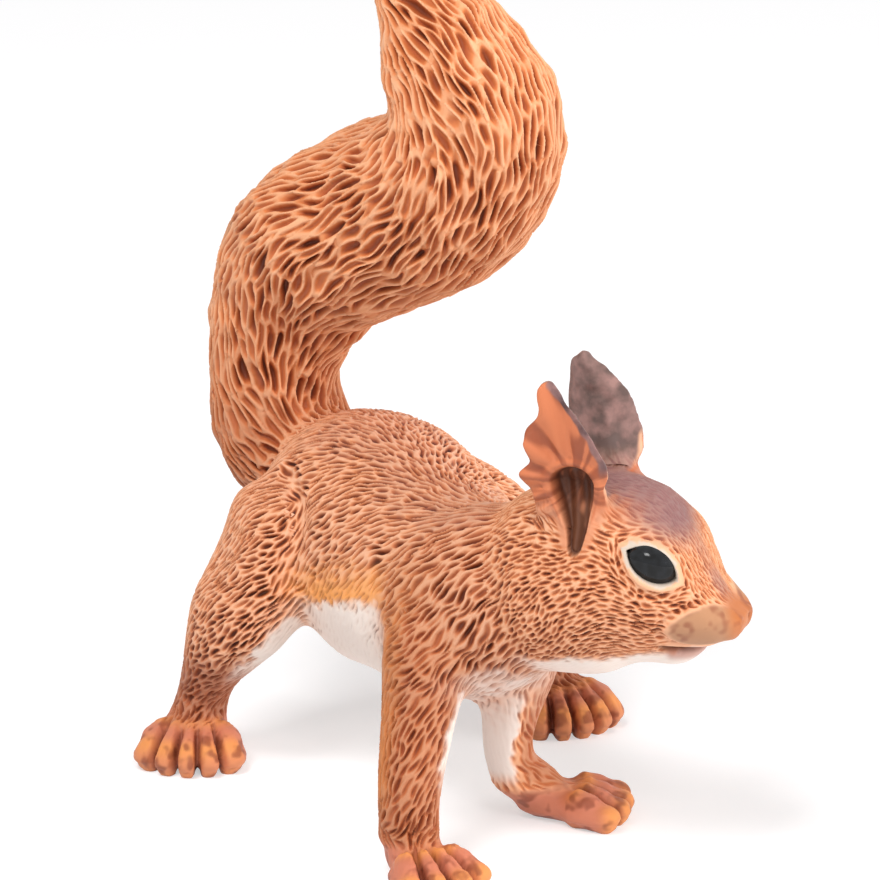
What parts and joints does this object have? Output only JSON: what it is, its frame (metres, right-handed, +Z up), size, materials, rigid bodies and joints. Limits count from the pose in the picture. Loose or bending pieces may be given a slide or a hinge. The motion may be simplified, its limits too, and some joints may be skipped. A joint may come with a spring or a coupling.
{
  "type": "squirrel figurine",
  "caption": "Small painted squirrel figurine on all fours, head turned aside and bushy S-shaped tail raised over its back.",
  "frame": {"origin": "middle of the base of the bounding box, on the plane of the soles", "axes": "+Z up, -Y the way the chest faces, +X the animal's left side"},
  "size_m": [0.0318, 0.0444, 0.0524],
  "materials": {
    "painted_fur": "hand-painted russet fur with a dark wash in the grooves, pale dry-brushed ridges and a cream belly, satin matte",
    "eye_bead": "glossy black"
  },
  "bodies": {
    "root": {"torso": "painted_fur", "head": "painted_fur", "right_ear": "painted_fur", "left_ear": "painted_fur", "right_eye": "eye_bead", "left_eye": "eye_bead", "tail": "painted_fur", "right_foreleg": "painted_fur", "left_foreleg": "painted_fur", "right_hind_leg": "painted_fur", "left_hind_leg": "painted_fur"}
  },
  "joints": []
}
